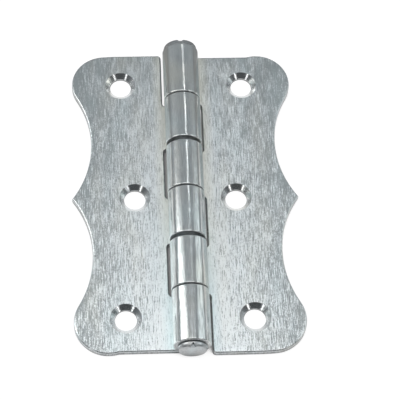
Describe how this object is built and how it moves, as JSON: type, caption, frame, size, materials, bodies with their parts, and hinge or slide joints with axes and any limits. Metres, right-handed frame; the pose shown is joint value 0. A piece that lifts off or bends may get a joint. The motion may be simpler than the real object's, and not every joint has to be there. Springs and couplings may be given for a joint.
{
  "type": "surface mount hinge",
  "caption": "Zinc-plated steel surface mount hinge with waisted leaves, countersunk screw holes and interleaved rolled knuckles turning on a peened pin.",
  "frame": {"origin": "under the pin axis, half way along the pin, on the plane of the leaves' backs", "axes": "+Y along the pin, +Z out of the front of the open leaves, +X towards the right leaf"},
  "size_m": [0.0514, 0.0768, 0.0083],
  "materials": {
    "leaf_zinc": "bright zinc plate over a fine rolled grain",
    "pin_steel": "zinc plate, peened ends"
  },
  "bodies": {
    "right_half": {"right_leaf": "leaf_zinc", "hinge_pin": "pin_steel"},
    "left_half": {"left_leaf": "leaf_zinc"}
  },
  "joints": [
    {"name": "leaf_swing", "type": "hinge", "parent": "right_half", "child": "left_half", "pos_m": [0, 0, 0.00415], "axis": [0, 1, 0], "range_deg": [-90, 190]}
  ]
}
